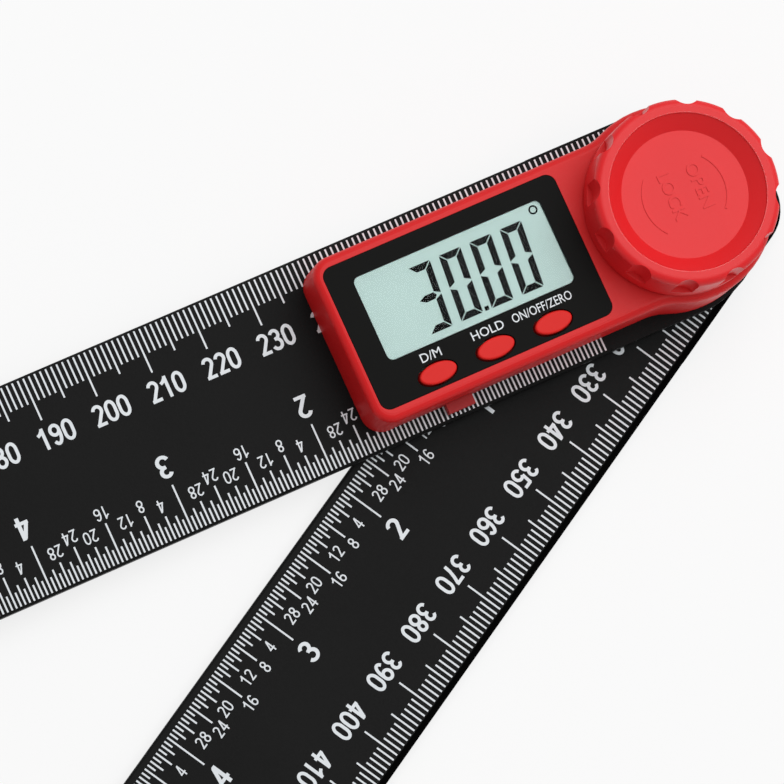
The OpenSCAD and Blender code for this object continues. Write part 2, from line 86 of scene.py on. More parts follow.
def moulded(name, dark, light, patch, grain, rough, spread, relief, shine):
    """Moulded plastic: the colour drifts from dark to light over patches, and an eroded grain gives the
    bump and moves the roughness by spread about rough. Patch and grain are widths in millimetres, and a
    pit is PIT_DEPTH times as deep as it is wide."""
    material, tree, shader, place = start(name)
    drift = add(tree, "ShaderNodeTexNoise", {"Scale": 1 / (patch * MM), "Detail": 3.0},
                (place, "Object", "Vector"))
    tint = add(tree, "ShaderNodeMix", {"data_type": "RGBA", 6: linear(dark), 7: linear(light)},
               (drift, "Fac", 0))
    pits = add(tree, "ShaderNodeTexNoise", {"Scale": 1 / (grain * MM), "Detail": 2.0},
               (place, "Object", "Vector"))
    gloss = add(tree, "ShaderNodeMapRange", {"To Min": rough - spread, "To Max": rough + spread},
                (pits, "Fac", "Value"))
    bump = add(tree, "ShaderNodeBump", {"Strength": relief, "Distance": grain * MM * PIT_DEPTH},
               (pits, "Fac", "Height"))
    shader.inputs["IOR"].default_value = PLASTIC_IOR
    shader.inputs["Specular IOR Level"].default_value = shine
    for source, output, socket in ((tint, 2, "Base Color"), (gloss, 0, "Roughness"), (bump, 0, "Normal")):
        tree.links.new(source.outputs[output], shader.inputs[socket])
    return material


def shade_edge(material, across, edge, blend):
    """Paints shade on a strip along a blade's edge: darkens and dulls it to EDGE_SHADE of the rest.
    Across is the unit direction over the blade, edge the distance from the pivot's axis at which the
    strip begins, and blend the width over which it sets in, both in millimetres."""
    tree = material.node_tree
    shader = tree.nodes["Principled BSDF"]
    place = add(tree, "ShaderNodeTexCoord", {})
    reach = add(tree, "ShaderNodeVectorMath", {"operation": "DOT_PRODUCT", 1: across}, (place, "Object", 0))
    lit = add(tree, "ShaderNodeMapRange", {"From Min": edge * MM, "From Max": (edge + blend) * MM,
                                           "To Min": 1.0, "To Max": EDGE_SHADE}, (reach, "Value", "Value"))
    tint = shader.inputs["Base Color"].links[0].from_socket
    dark = add(tree, "ShaderNodeVectorMath", {"operation": "SCALE"}, (lit, 0, "Scale"))
    tree.links.new(tint, dark.inputs[0])
    tree.links.new(dark.outputs[0], shader.inputs["Base Color"])
    level = shader.inputs["Specular IOR Level"]
    shine = add(tree, "ShaderNodeMath", {"operation": "MULTIPLY", 1: level.default_value}, (lit, 0, 0))
    tree.links.new(shine.outputs[0], level)


def dress(material, *nodes):
    """Gives a finish to CAD nodes by their material slots."""
    for name in nodes:
        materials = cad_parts[name].data.materials
        if len(materials) == 0:
            materials.append(material)
        for i in range(len(materials)):
            materials[i] = material


# Black ABS: nearly black body, a dull even sheen from the eroded mould. On the lower blade a strip
# along the outer edge is darkened and dulled as painted shade.
BLACK_ABS = dict(dark="#0c0c0c", light="#141414", patch=22, grain=0.35, rough=0.5, spread=0.08,
                 relief=0.25, shine=0.06)
LOWER_TOP = corners_of("lower_blade")[1][2]
BLADE_LENGTH, BLADE_HALF = -corners_of("upper_blade")[0][0], corners_of("upper_blade")[1][1]
lower_abs = moulded("black_abs_lower_blade", **BLACK_ABS)
outwards = (math.sin(REST_ANGLE), -math.cos(REST_ANGLE), 0)
# Painted shade: a dark, dull strip along the lower blade's outer edge.
shade_edge(lower_abs, outwards, BLADE_HALF - PAINTED_SHADE_WIDTH, EDGE_BLEND)
dress(lower_abs, "lower_blade")

# Scale of the lower blade: white ink, screen-printed on its upper face.
# Millimetres 300 to 600 run along the outer edge, inches in 32nds along the inner edge.
INK_PROUD, INK_SUNK, INK_LAYER = 0.02, 0.005, 0.002
MM_PER_BLADE = 300
INCH, INCH_PARTS, INCHES, INCH_ORIGIN = 25.4, 32, 11, 18.5
MM_TICK = (4.7, 6.0, 7.9)
INCH_TICK = (2.9, 3.9, 4.5, 5.9, 7.4, 8.8)
TICK_WIDTH, TIP_CLEAR, LOWER_MARGIN = 0.3, 1, 1.3
MM_DIGIT, MM_DIGIT_INSET, MM_DIGIT_SHIFT = 3.7, 11, 1.2
INCH_DIGIT, INCH_DIGIT_INSET, INCH_DIGIT_STRETCH = 3.9, 12, 1.15
PART_DIGIT, PART_LINE = 2.2, 0.11
PART_INSET = {4: 6.3, 8: 7.6, 12: 6.3, 16: 9.1, 20: 6.3, 24: 7.6, 28: 6.3}
DIGIT_WIDE, DIGIT_STEP, DIGIT_LINE = 0.54, 0.6, 0.15
BOW_STEP = 15
CAP_HEIGHT, WORD_STEPS, SLIVER = 0.7, 3, 1e-9


def strokes(near, far, width, low, high):
    """Straight printed lines as closed boxes: each runs from near to far (N x 2), width wide, low to high
    in z. The corners are the ends moved half a width to either side, once at each height."""
    along = far - near
    side = np.stack([-along[:, 1], along[:, 0]], 1)
    side *= width / 2 / np.linalg.norm(along, axis=1, keepdims=True)
    flat = np.stack([near - side, far - side, far + side, near + side], 1)
    shape = flat.shape[:2] + (1,)
    points = np.concatenate([np.concatenate([flat, np.full(shape, z)], 2) for z in (low, high)], 1)
    box = np.array([[3, 2, 1, 0], [4, 5, 6, 7], [0, 1, 5, 4], [1, 2, 6, 5], [2, 3, 7, 6], [3, 0, 4, 7]])
    faces = box[None] + 8 * np.arange(len(near))[:, None, None]
    return points.reshape(-1, 3), faces.reshape(-1, 4)


def plate(flat, triangles, low, high):
    """A flat figure as a closed plate: its triangles at the top and, turned over, at the bottom,
    joined by a wall on each edge that only one triangle owns."""
    n = len(flat)
    points = np.concatenate([np.c_[flat, np.full(n, low)], np.c_[flat, np.full(n, high)]])
    edges = np.concatenate([triangles[:, [0, 1]], triangles[:, [1, 2]], triangles[:, [2, 0]]])
    key = np.sort(edges, 1) @ np.array([n, 1])
    first, count = np.unique(key, return_index=True, return_counts=True)[1:]
    rim = edges[first[count == 1]]
    walls = np.concatenate([np.c_[rim, rim[:, 1] + n], np.c_[rim[:, 0], rim[:, 1] + n, rim[:, 0] + n]])
    return points, np.concatenate([triangles[:, ::-1], triangles + n, walls])


def bow(x, y, wide, tall, from_angle, to_angle):
    """Points on an oval about (x, y) from one angle to another, about BOW_STEP degrees apart."""
    steps = max(2, round(abs(to_angle - from_angle) / BOW_STEP))
    turn = np.radians(np.linspace(from_angle, to_angle, steps + 1))
    return np.c_[x + wide * np.cos(turn), y + tall * np.sin(turn)]


def ribbon(path, width):
    """A line of even width along a path, which is closed if it ends where it begins.
    Each point moves half a width to both sides along the mean normal of its two segments, and further
    at a bend, so that the sides stay parallel to the path."""
    closed = np.allclose(path[0], path[-1])
    path = path[:-1] if closed else path
    ahead = np.roll(path, -1, 0) - path
    behind = np.roll(ahead, 1, 0)
    if not closed:
        ahead[-1], behind[0] = ahead[-2], ahead[0]
    normals = [np.c_[-d[:, 1], d[:, 0]] / np.linalg.norm(d, axis=1, keepdims=True) for d in (behind, ahead)]
    side = normals[0] + normals[1]
    side *= width / 2 / np.sum(side * normals[0], 1, keepdims=True)
    n = len(path)
    i = np.arange(n if closed else n - 1)
    j = (i + 1) % n
    triangles = np.concatenate([np.c_[i, j, j + n], np.c_[i, j + n, i + n]])
    return np.concatenate([path - side, path + side]), triangles


def line(*points):
    """A straight path through points."""
    return np.array(points, float)


# Pen strokes of the digits, in a cell DIGIT_WIDE wide and 1 high; a nine is a six turned over.
six = [bow(0.27, 0.295, 0.195, 0.22, 0, 360),
       np.concatenate([bow(0.275, 0.5, 0.2, 0.425, 42, 180), line((0.075, 0.3))])]
DIGITS = {
    "0": [np.concatenate([bow(0.27, 0.64, 0.195, 0.285, 0, 180), bow(0.27, 0.36, 0.195, 0.285, 180, 360),
                          line((0.465, 0.64))])],
    "1": [line((0.33, 0), (0.33, 1)), line((0.07, 0.7), (0.2, 0.77), (0.33, 0.925))],
    "2": [np.concatenate([bow(0.27, 0.72, 0.19, 0.205, 168, -32), line((0.12, 0.1))]),
          line((0.03, 0.075), (0.5, 0.075))],
    "3": [bow(0.26, 0.73, 0.18, 0.195, 160, -100), bow(0.26, 0.3, 0.205, 0.225, 105, -162)],
    "4": [line((0.38, 0), (0.38, 1)), line((0.02, 0.28), (0.53, 0.28)), line((0.08, 0.26), (0.345, 0.94))],
    "5": [line((0.11, 0.925), (0.49, 0.925)), line((0.14, 0.96), (0.09, 0.46)),
          bow(0.265, 0.305, 0.2, 0.23, 142, -162)],
    "6": six,
    "7": [line((0.04, 0.925), (0.5, 0.925)), line((0.44, 0.9), (0.32, 0.62), (0.24, 0.32), (0.21, 0))],
    "8": [bow(0.27, 0.735, 0.17, 0.19, 0, 360), bow(0.27, 0.295, 0.195, 0.22, 0, 360)],
    "9": [[DIGIT_WIDE, 1.0] - path for path in six]}


def numeral(value, centre, up, height, stretch, weight, low, high):
    """A printed number in closed plates, one for each pen stroke; later strokes lie a hair higher."""
    up = np.array(up) / np.linalg.norm(up)
    right = np.array([up[1], -up[0]])
    parts = []
    for i, digit in enumerate(str(value)):
        shift = (i - (len(str(value)) - 1) / 2) * DIGIT_STEP - DIGIT_WIDE / 2
        for layer, path in enumerate(DIGITS[digit]):
            flat, triangles = ribbon(path, weight)
            placed = np.array(centre) + (flat[:, :1] + shift) * height * stretch * right \
                + (flat[:, 1:] - 0.5) * height * up
            parts.append(plate(placed, triangles, low, high + INK_LAYER * layer))
    return parts


def glyphs(words, weight):
    """A word's flat outline, filled: points (x, y) for a capital height of 1, centred, and triangles."""
    curve = bpy.data.curves.new("word", "FONT")
    curve.body, curve.resolution_u, curve.offset = words, WORD_STEPS, weight
    holder = bpy.data.objects.new("word", curve)
    bpy.context.scene.collection.objects.link(holder)
    bpy.context.view_layer.update()
    mesh = bpy.data.meshes.new_from_object(holder.evaluated_get(bpy.context.evaluated_depsgraph_get()))
    mesh.calc_loop_triangles()
    flat = np.zeros(len(mesh.vertices) * 3)
    mesh.vertices.foreach_get("co", flat)
    triangles = np.zeros(len(mesh.loop_triangles) * 3, int)
    mesh.loop_triangles.foreach_get("vertices", triangles)
    bpy.data.objects.remove(holder)
    bpy.data.meshes.remove(mesh)
    bpy.data.curves.remove(curve)
    flat, merged = np.unique(np.round(flat.reshape(-1, 3)[:, :2], 6), axis=0, return_inverse=True)
    triangles = merged.reshape(-1)[triangles].reshape(-1, 3)
    a, b, c = (flat[triangles[:, i]] for i in range(3))
    area = (b - a)[:, 0] * (c - a)[:, 1] - (b - a)[:, 1] * (c - a)[:, 0]
    triangles = np.where((area < 0)[:, None], triangles[:, ::-1], triangles)[np.abs(area) > SLIVER]
    low, high = flat.min(0), flat.max(0)
    return (flat - (low + high) / 2) / CAP_HEIGHT, triangles


def label(words, centre, up, height, stretch, weight, low, high):
    """A printed word as a closed plate: its height, its width factor and the direction of its top."""
    flat, triangles = glyphs(words, weight)
    up = np.array(up) / np.linalg.norm(up)
    right = np.array([up[1], -up[0]])
    placed = np.array(centre) + flat[:, :1] * height * stretch * right + flat[:, 1:] * height * up
    return plate(placed, triangles, low, high)


def gather(parts):
    """Several sets of points and faces as one set, with the faces as lists."""
    offset = np.cumsum([0] + [len(points) for points, faces in parts[:-1]])
    points = np.concatenate([points for points, faces in parts])
    return points, [face for (p, faces), o in zip(parts, offset) for face in (faces + o).tolist()]


def piece(name, points, faces, material, smooth=False):
    """A mesh object from points in millimetres, at the origin and unturned."""
    mesh = bpy.data.meshes.new(name)
    mesh.from_pydata((np.asarray(points) * MM).tolist(), [], faces)
    mesh.polygons.foreach_set("use_smooth", np.full(len(mesh.polygons), smooth))
    mesh.materials.append(material)
    mesh.update()
    made = bpy.data.objects.new(name, mesh)
    bpy.context.scene.collection.objects.link(made)
    return made


def printed_scale(top, outer, first, step, margin):
    """Ticks and numerals of one blade in its own plane, with the blade along -X.
    Millimetre s stands at x = step * (s - 300), from the outer edge inwards, and inch k/32 at
    x = -(INCH_ORIGIN + 25.4 k / 32), from the other edge; a tick's length follows its rank."""
    low, high = top - INK_SUNK, top + INK_PROUD
    s = np.arange(first, first + MM_PER_BLADE + 1)
    x = step * (s - float(MM_PER_BLADE))
    keep = x > -BLADE_LENGTH + TIP_CLEAR
    s, x = s[keep], x[keep]
    length = np.where(s % 10 == 0, MM_TICK[2], np.where(s % 5 == 0, MM_TICK[1], MM_TICK[0]))
    edge = np.full(len(x), outer * (BLADE_HALF - margin))
    inner = outer * (BLADE_HALF - length)
    parts = [strokes(np.c_[x, edge], np.c_[x, inner], TICK_WIDTH, low, high)]
    k = np.arange(0, INCHES * INCH_PARTS + 1)
    x = -(INCH_ORIGIN + INCH * k / INCH_PARTS)
    rank = np.sum([k % m == 0 for m in (2, 4, 8, 16, 32)], axis=0)
    edge = np.full(len(x), -outer * (BLADE_HALF - margin))
    inner = -outer * (BLADE_HALF - np.array(INCH_TICK)[rank])
    parts.append(strokes(np.c_[x, edge], np.c_[x, inner], TICK_WIDTH, low, high))
    outwards, inwards = (0.0, outer), (0.0, -outer)
    for value in s[(s % 10 == 0) & (s % MM_PER_BLADE != 0)]:
        at = step * (value - float(MM_PER_BLADE)) + (MM_DIGIT_SHIFT if step > 0 else 0.0)
        parts += numeral(value, (at, outer * (BLADE_HALF - MM_DIGIT_INSET)), outwards, MM_DIGIT, 1.0,
                         DIGIT_LINE, low, high)
    for inch in range(INCHES):
        if inch:
            at = -(INCH_ORIGIN + INCH * inch)
            parts += numeral(inch, (at, -outer * (BLADE_HALF - INCH_DIGIT_INSET)), inwards, INCH_DIGIT,
                             INCH_DIGIT_STRETCH, DIGIT_LINE, low, high)
        for part, inset in PART_INSET.items():
            at = -(INCH_ORIGIN + INCH * (inch + part / INCH_PARTS))
            parts += numeral(part, (at, -outer * (BLADE_HALF - inset)), inwards, PART_DIGIT, 1.0,
                             PART_LINE, low, high)
    return gather(parts)


def turned(points, angle):
    """Points turned about the pivot's axis."""
    c, s = math.cos(angle), math.sin(angle)
    return points @ np.array([[c, s, 0], [-s, c, 0], [0, 0, 1]])


# White screen ink: a flat, cool white with a slightly uneven cover.
white_ink = moulded("white_screen_ink", "#dfe5ea", "#f2f6f9", patch=3, grain=0.2, rough=0.55, spread=0.05,
                    relief=0.1, shine=0.3)
points, faces = printed_scale(LOWER_TOP, outer=-1, first=MM_PER_BLADE, step=-1, margin=LOWER_MARGIN)
lower_scale = piece("lower_scale_print", turned(points, REST_ANGLE), faces, white_ink)
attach(lower_scale, "swing_leg")

# Pivot: a turned steel bolt with a hexagon head, and a white nylon washer between the blades.
# The bolt's thread carries the knob, and the encoder's rotor is pressed on its shank. The other
# small metal pieces of the gauge have the same two finishes.
WAVE_PERIOD = 0.314
RING_SMOOTHER, RING_ROUGHER = 0.06, 0.1


def turned_metal(name, dark, light, ring, rough):
    """Turned metal: fine rings about the Z axis, ring millimetres apart, that vary colour and roughness.
    A wave of scale 1 repeats every WAVE_PERIOD."""
    material, tree, shader, place = start(name)
    rings = add(tree, "ShaderNodeTexWave",
                {"wave_type": "RINGS", "rings_direction": "Z", "Scale": WAVE_PERIOD / (ring * MM),
                 "Distortion": 0.4, "Detail": 2.0}, (place, "Object", "Vector"))
    tint = add(tree, "ShaderNodeMix", {"data_type": "RGBA", 6: linear(dark), 7: linear(light)},
               (rings, "Fac", 0))
    gloss = add(tree, "ShaderNodeMapRange",
                {"To Min": rough - RING_SMOOTHER, "To Max": rough + RING_ROUGHER}, (rings, "Fac", "Value"))
    shader.inputs["Metallic"].default_value = 1.0
    tree.links.new(tint.outputs[2], shader.inputs["Base Color"])
    tree.links.new(gloss.outputs[0], shader.inputs["Roughness"])
    return material


# Zinc-plated steel: a pale metal whose turning rings blur its reflections. Brass: the same, in yellow.
# Nylon: milky white and dull.
zinc_steel = turned_metal("zinc_plated_steel", "#a9adb3", "#c6c9cd", ring=0.25, rough=0.3)
cast_brass = turned_metal("turned_brass", "#b08a3a", "#cfae62", ring=0.25, rough=0.3)
white_nylon = moulded("white_nylon", "#d6d2c4", "#e6e3d8", patch=4, grain=0.3, rough=0.5, spread=0.06,
                      relief=0.15, shine=0.4)
dress(zinc_steel, "pivot_bolt", "blade_screws", "board_screws", "dome_switches", "board_components",
      "coin_cell", "knob_washer")
dress(cast_brass, "rotor_disc", "pivot_bush", "knob_insert", "negative_contact", "positive_contact")
dress(white_nylon, "friction_washer")

# Upper blade: the same moulded black ABS, with the housing screwed to it from below.
# Its printed scale runs from 0 at the tip to 300 at the pivot.
UPPER_MARGIN = 0.45
UPPER_TOP = corners_of("upper_blade")[1][2]
upper_abs = moulded("black_abs_upper_blade", **BLACK_ABS)
dress(upper_abs, "upper_blade")
points, faces = printed_scale(UPPER_TOP, outer=1, first=0, step=1, margin=UPPER_MARGIN)
upper_scale = piece("upper_scale_print", points, faces, white_ink)
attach(upper_scale, "display_leg")

# Display housing: an open-bottomed shell moulded in red ABS, with a round end about the pivot.
# Its mould is lightly eroded, which gives a satin red without sharp reflections.
red_abs = moulded("red_abs_satin", "#d7191b", "#e12022", patch=18, grain=0.4, rough=0.42, spread=0.06,
                  relief=0.12, shine=0.22)
dress(red_abs, "housing_shell")

# Electronics inside: solder-masked boards, a moulded chip, a flat strip of polyimide and the rubber
# contact strips of the display. The mask is a glossy mottled green, the resin a dull dark grey,
# the film a smooth amber and the silicone a matt pink.
solder_mask = moulded("green_solder_mask", "#1f5a38", "#2f7a4c", patch=1.2, grain=0.4, rough=0.35,
                      spread=0.08, relief=0.1, shine=0.5)
chip_resin = moulded("black_chip_resin", "#1d1d1d", "#2a2a2a", patch=1.5, grain=0.15, rough=0.6,
                     spread=0.08, relief=0.3, shine=0.4)
polyimide = moulded("amber_polyimide_film", "#9c5c1e", "#b8752e", patch=2, grain=0.5, rough=0.3,
                    spread=0.06, relief=0.05, shine=0.5)
contact_rubber = moulded("pink_silicone_strip", "#c99090", "#dcaaaa", patch=0.8, grain=0.3, rough=0.65,
                         spread=0.05, relief=0.1, shine=0.3)
dress(solder_mask, "circuit_board", "stator_disc")
dress(chip_resin, "processor_chip", "lcd_frame")
dress(polyimide, "encoder_flex")
dress(contact_rubber, "zebra_strips")

# Display glass: a grey-green reflective panel with dark liquid crystal segments.
# Its front film carries the reading and is moulded into the window, close under the face.
PANE_LOW, PANE_HIGH = corners_of("display_window")
WINDOW_LEFT, WINDOW_TOP = PANE_LOW[0], PANE_HIGH[1]
FILM_DEPTH, FILM_THICK, FILM_INSET, FILM_CORNER = 0.25, 0.06, 0.03, 1.0
FILM_TOP = PANE_HIGH[2] - FILM_DEPTH
CRYSTAL_SUNK, CRYSTAL_PROUD = 0.01, 0.03
DIGIT_HEIGHT, DIGIT_WIDTH, DIGIT_PITCH, DIGIT_STROKE = 11.45, 3.98, 5.61, 1.14
DIGITS_RIGHT, DIGITS_DOWN = 8.2, 2.12
SEGMENT_GAP, POINT_SIZE = 0.11, 0.75
SLANT = math.tan(math.radians(5.3))
READING = ("abcdg", "abcdef", "abcdef", "abcdef")
RING_RIGHT, RING_DOWN, RING_INNER, RING_OUTER, RING_STEPS = 32.7, 1.3, 0.5, 0.78, 32

# Display ground: an even pale grey-green with a weak sheen. Liquid crystal: a flat black without gloss.
lcd_glass = moulded("grey_green_lcd_glass", "#a4b9b5", "#adc2be", patch=9, grain=0.25, rough=0.35,
                    spread=0.03, relief=0.03, shine=0.2)
dark_crystal = moulded("dark_liquid_crystal", "#040505", "#08090a", patch=3, grain=0.3, rough=0.6,
                       spread=0.04, relief=0.05, shine=0.02)
dress(lcd_glass, "lcd_panel")


def segments(lit):
    """The lit bars of one seven-segment digit, each a flat polygon with mitred ends.
    A bar's outer corners lie on the digit's outline, its inner ones a stroke further in, and every
    mitre is drawn back by half the gap that parts it from its neighbour."""
    w, h, s, g = DIGIT_WIDTH, DIGIT_HEIGHT, DIGIT_STROKE, SEGMENT_GAP
    top = [(g, h), (w - g, h), (w - s - g, h - s), (s + g, h - s)]
    upper = [(w, h - g), (w, h / 2 + g), (w - s, h / 2 + s / 2 + g), (w - s, h - s - g)]
    middle = [(g, h / 2), (s, h / 2 + s / 2), (w - s - g, h / 2 + s / 2), (w - s * 0.5 - 2 * g, h / 2),
              (w - s - g, h / 2 - s / 2), (s, h / 2 - s / 2)]
    shapes = {"a": top, "b": upper, "g": middle,
              "c": [(x, h - y) for x, y in upper], "d": [(x, h - y) for x, y in top],
              "e": [(w - x, h - y) for x, y in upper], "f": [(w - x, y) for x, y in upper]}
    return [np.array(shapes[bar]) for bar in lit]


def fan(outline):
    """Triangles of a convex outline, all from its first point, turned to face up."""
    n = len(outline)
    triangles = np.c_[np.zeros(n - 2, int), np.arange(1, n - 1), np.arange(2, n)]
    a, b = np.roll(outline, -1, 0), outline
    area = np.sum(b[:, 0] * a[:, 1] - b[:, 1] * a[:, 0])
    return triangles if area > 0 else triangles[:, ::-1]


def band(centre, inner, outer, from_angle, to_angle, steps):
    """Points and triangles of a flat ring sector: radius inner to outer over a range of degrees.
    A full turn closes on its first points."""
    turn = np.radians(np.linspace(from_angle, to_angle, steps + 1))
    ring = np.c_[np.cos(turn), np.sin(turn)]
    flat = np.concatenate([np.array(centre) + inner * ring, np.array(centre) + outer * ring])
    i = np.arange(steps)
    n = steps + 1
    if to_angle - from_angle == 360:
        flat = np.concatenate([flat[:steps], flat[n:n + steps]])
        n = steps
    j = (i + 1) % n
    return flat, np.concatenate([np.c_[i, i + n, j + n], np.c_[i, j + n, j]])


def rounded(low, high, corner):
    """Outline of a rectangle with round corners, counter-clockwise: a quarter circle about the centre
    of each corner."""
    (x0, y0), (x1, y1) = low + corner, high - corner
    return np.concatenate([bow(x1, y1, corner, corner, 0, 90), bow(x0, y1, corner, corner, 90, 180),
                           bow(x0, y0, corner, corner, 180, 270), bow(x1, y0, corner, corner, 270, 360)])


outline = rounded(PANE_LOW[:2] + FILM_INSET, PANE_HIGH[:2] - FILM_INSET, FILM_CORNER)
sheet = plate(outline, fan(outline), FILM_TOP - FILM_THICK, FILM_TOP)
lcd_film = piece("lcd_film", *gather([sheet]), lcd_glass)
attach(lcd_film, "display_leg")

bars = []
for place_in_row, lit in enumerate(READING):
    for outline in segments(lit):
        bars.append(outline + [place_in_row * DIGIT_PITCH, 0])
point_x = 2 * DIGIT_PITCH - (DIGIT_PITCH - DIGIT_WIDTH) / 2
bars.append(np.array([(-1, 0), (1, 0), (1, 2), (-1, 2)]) * POINT_SIZE / 2 + [point_x, 0])
low, high = FILM_TOP - CRYSTAL_SUNK, FILM_TOP + CRYSTAL_PROUD
digits_at = np.array([WINDOW_LEFT + DIGITS_RIGHT, WINDOW_TOP - DIGITS_DOWN - DIGIT_HEIGHT])
parts = []
for bar in bars:
    leaning = np.c_[bar[:, 0] + SLANT * bar[:, 1], bar[:, 1]]
    parts.append(plate(leaning + digits_at, fan(bar), low, high))
ring_at = (WINDOW_LEFT + RING_RIGHT, WINDOW_TOP - RING_DOWN)
parts.append(plate(*band(ring_at, RING_INNER, RING_OUTER, 0, 360, RING_STEPS), low, high))
lcd_digits = piece("lcd_digits", *gather(parts), dark_crystal)
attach(lcd_digits, "display_leg")

# Face: a thin black plastic sheet, printed satin and let into the recess of the housing's top.
# The keys' names are printed on it above the keys, in the same white ink as the scales.
NAME_RISE, NAME_HEIGHT, NAME_WEIGHT = 3.2, 1.52, 0.004
KEY_NAMES = {"mode_button": ("D/M", 0.15, 1.0), "hold_button": ("HOLD", 0.0, 1.0),
             "zero_button": ("ON/OFF/ZERO", -0.6, 0.78)}
PANEL_TOP = corners_of("face_panel")[1][2]
satin_panel = moulded("black_printed_sheet", "#0a0a09", "#0f0f0e", patch=14, grain=0.3, rough=0.42,
                      spread=0.05, relief=0.08, shine=0.04)
dress(satin_panel, "face_panel")
low, high = PANEL_TOP - INK_SUNK, PANEL_TOP + INK_PROUD
parts = []
for key, (words, shift, stretch) in KEY_NAMES.items():
    x, y, z = np.mean(corners_of(key), 0)
    parts.append(label(words, (x + shift, y + NAME_RISE), (0, 1), NAME_HEIGHT, stretch, NAME_WEIGHT,
                       low, high))
face_print = piece("face_print", *gather(parts), white_ink)
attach(face_print, "display_leg")

# Window: a clear acrylic pane in the panel's opening, polished, with a few faint scuffs.
# Light from the lamps passes straight through. Its IOR is kept below acrylic's 1.49, so that the pane
# bends little of what lies under it.
PANE_IOR, SCUFF_SIZE, SCUFF_FROM, SCUFF_TO = 1.15, 2, 0.01, 0.06
clear_acrylic, tree, shader, place = start("clear_acrylic")
scuff = add(tree, "ShaderNodeTexNoise", {"Scale": 1 / (SCUFF_SIZE * MM), "Detail": 4.0},
            (place, "Object", "Vector"))
gloss = add(tree, "ShaderNodeMapRange", {"To Min": SCUFF_FROM, "To Max": SCUFF_TO}, (scuff, "Fac", "Value"))
shader.inputs["Base Color"].default_value = linear("#f6fbfa")
shader.inputs["Transmission Weight"].default_value = 1.0
shader.inputs["IOR"].default_value = PANE_IOR
tree.links.new(gloss.outputs[0], shader.inputs["Roughness"])
ray = add(tree, "ShaderNodeLightPath", {})
passing = add(tree, "ShaderNodeBsdfTransparent", {"Color": linear("#f2f8f7")})
through = add(tree, "ShaderNodeMixShader", {},
              (ray, "Is Shadow Ray", 0), (shader, 0, 1), (passing, 0, 2))
tree.links.new(through.outputs[0], tree.nodes["Material Output"].inputs["Surface"])
dress(clear_acrylic, "display_window")

# Keys: three crowned oval caps of a moulded elastomer, on flanges under the face.
# They press the dome switches on the board. Their red is warmer and duller than the housing's.
key_red = moulded("red_key_elastomer", "#de1d18", "#e6241e", patch=5, grain=0.3, rough=0.5, spread=0.05,
                  relief=0.1, shine=0.2)
dress(key_red, "mode_button", "hold_button", "zero_button")

# Battery drawer: a tray with a pull tab that slides out of the housing's inner side, with the coin
# cell in its pocket. It has the housing's satin red ABS face, in a darker red that is painted shade.
# Painted shade: the tray's red is the housing's red, darkened.
red_abs_painted_shade = moulded("red_abs_painted_shade", "#a81417", "#b81a1c", patch=8, grain=0.4, rough=0.45, spread=0.06,
                       relief=0.12, shine=0.25)
dress(red_abs_painted_shade, "battery_tray")

# Lock knob: a cup-shaped red ABS moulding with finger notches, pressed on a brass thread insert.
# Its floor carries two raised arcs and the words OPEN and LOCK, all in the same plastic, which is
# brighter and a little glossier than the housing's.
FLOOR_REACH = 11
RELIEF_SUNK, RELIEF_PROUD = 0.05, 0.15
ARC_INNER, ARC_OUTER, ARC_HALF, ARC_STEPS = 7.0, 7.35, 42, 24
KNOB_WORDS = {"OPEN": (3.0, 0.5), "LOCK": (-2.1, 0.5)}
KNOB_WORD_HEIGHT, KNOB_WORD_WEIGHT = 2.2, 0.008
RED_ABS_KNOB = dict(dark="#e3191e", light="#ea2126", patch=12, grain=0.35)
knob_abs = moulded("red_abs_knob", **RED_ABS_KNOB, rough=0.4, spread=0.06, relief=0.12, shine=0.3)
dress(knob_abs, "lock_knob")
knob_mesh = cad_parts["lock_knob"].data
spots = np.zeros(len(knob_mesh.vertices) * 3)
knob_mesh.vertices.foreach_get("co", spots)
spots = spots.reshape(-1, 3) / MM
reach = np.hypot(spots[:, 0], spots[:, 1])
floor_top = spots[reach < FLOOR_REACH, 2].max()
low, high = floor_top - RELIEF_SUNK, floor_top + RELIEF_PROUD
parts = []
for middle in (0, 180):
    arc = band((0, 0), ARC_INNER, ARC_OUTER, middle - ARC_HALF, middle + ARC_HALF, ARC_STEPS)
    parts.append(plate(*arc, low, high))
for words, centre in KNOB_WORDS.items():
    parts.append(label(words, centre, (1, 0), KNOB_WORD_HEIGHT, 1.0, KNOB_WORD_WEIGHT, low, high))
knob_words = piece("knob_words", *gather(parts), knob_abs)
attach(knob_words, "knob")

# Lip of the knob's cup: a fine rounded bead along its mouth, moulded with the knob.
# Fingers have rubbed it smooth, so it shows a bright line.
BEAD_RADIUS, BEAD_STEPS, BEAD_SIDES = 0.2, 160, 12
LEVEL = 0.001
polished_edge = moulded("red_abs_rubbed_bright", **RED_ABS_KNOB, rough=0.16, spread=0.04, relief=0.04,
                        shine=0.6)
knob_top = spots[:, 2].max()
mouth = reach[spots[:, 2] > knob_top - LEVEL].min()


def bead(radius, height, thick, steps, sides):
    """A closed ring about the Z axis: a circle of radius thick, carried round at a radius and a height."""
    turn, tilt = np.meshgrid(np.arange(steps) * 2 * math.pi / steps,
                             np.arange(sides) * 2 * math.pi / sides, indexing="ij")
    reach = radius + thick * np.cos(tilt)
    points = np.stack([reach * np.cos(turn), reach * np.sin(turn), height + thick * np.sin(tilt)], 2)
    i, j = np.meshgrid(np.arange(steps), np.arange(sides), indexing="ij")
    a, b = (i + 1) % steps, (j + 1) % sides
    quads = np.stack([i * sides + j, a * sides + j, a * sides + b, i * sides + b], 2)
    return points.reshape(-1, 3), quads.reshape(-1, 4).tolist()


points, faces = bead(mouth, knob_top - BEAD_RADIUS, BEAD_RADIUS, BEAD_STEPS, BEAD_SIDES)
knob_lip = piece("knob_lip", points, faces, polished_edge, smooth=True)
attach(knob_lip, "knob")

